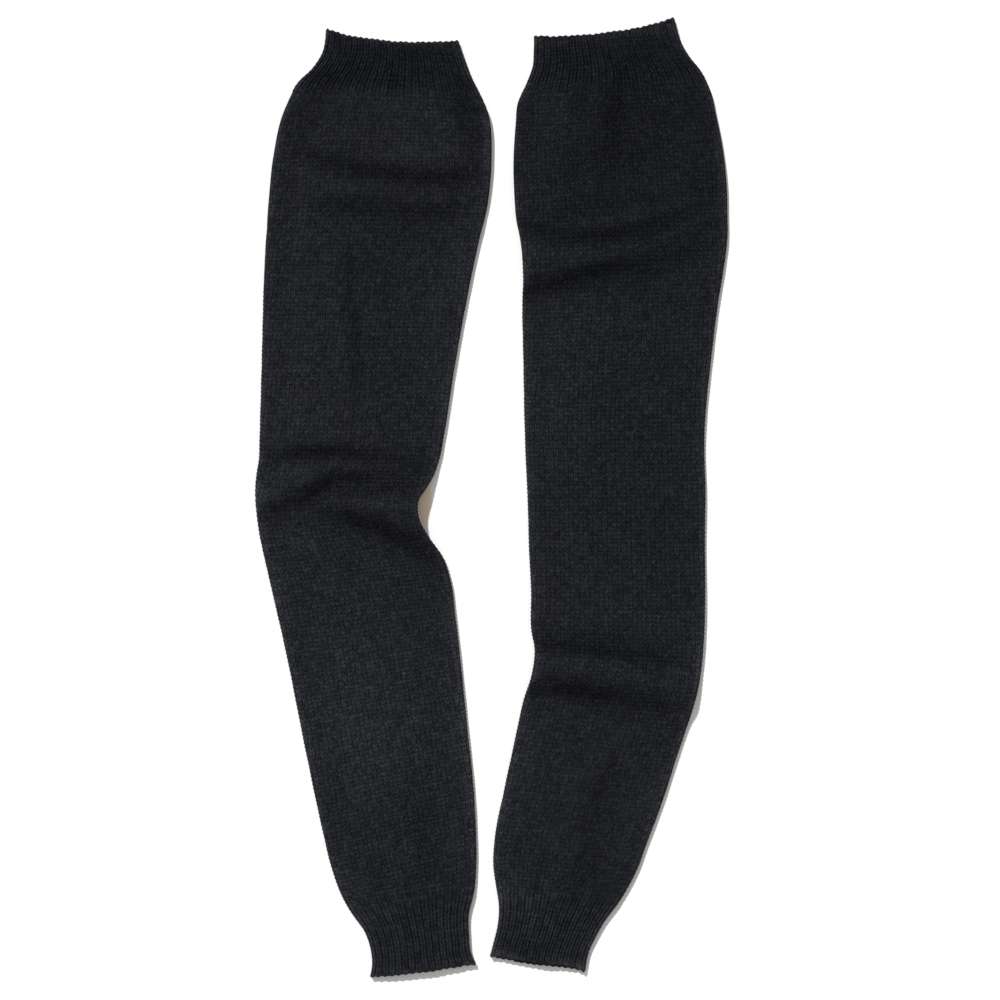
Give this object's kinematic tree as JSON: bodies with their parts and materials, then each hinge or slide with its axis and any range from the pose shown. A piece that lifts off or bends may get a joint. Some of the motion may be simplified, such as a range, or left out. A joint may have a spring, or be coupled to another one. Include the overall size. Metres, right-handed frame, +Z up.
{
  "type": "pair of knee warmers",
  "caption": "Pair of long knitted knee warmers laid flat side by side, each an open tube with a ribbed top, a plain leg creased at the knee and a narrow ribbed ankle.",
  "frame": {"origin": "middle of the pair's outline, on the surface that it lies on", "axes": "+X across the pair towards the right warmer, +Y from the ankles towards the ribbed tops, +Z up from the surface"},
  "size_m": [0.2973, 0.6041, 0.0143],
  "materials": {
    "rib_knit": "one-by-one rib in dull blue-black yarn, with deep grooves between the ribs and a faint fuzz",
    "plain_knit": "plain stocking stitch in dull blue-black yarn, with a faint lighter fuzz"
  },
  "bodies": {
    "root": {"left_top_rib": "rib_knit", "left_leg": "plain_knit", "left_ankle_rib": "rib_knit", "right_top_rib": "rib_knit", "right_leg": "plain_knit", "right_ankle_rib": "rib_knit"}
  },
  "joints": []
}
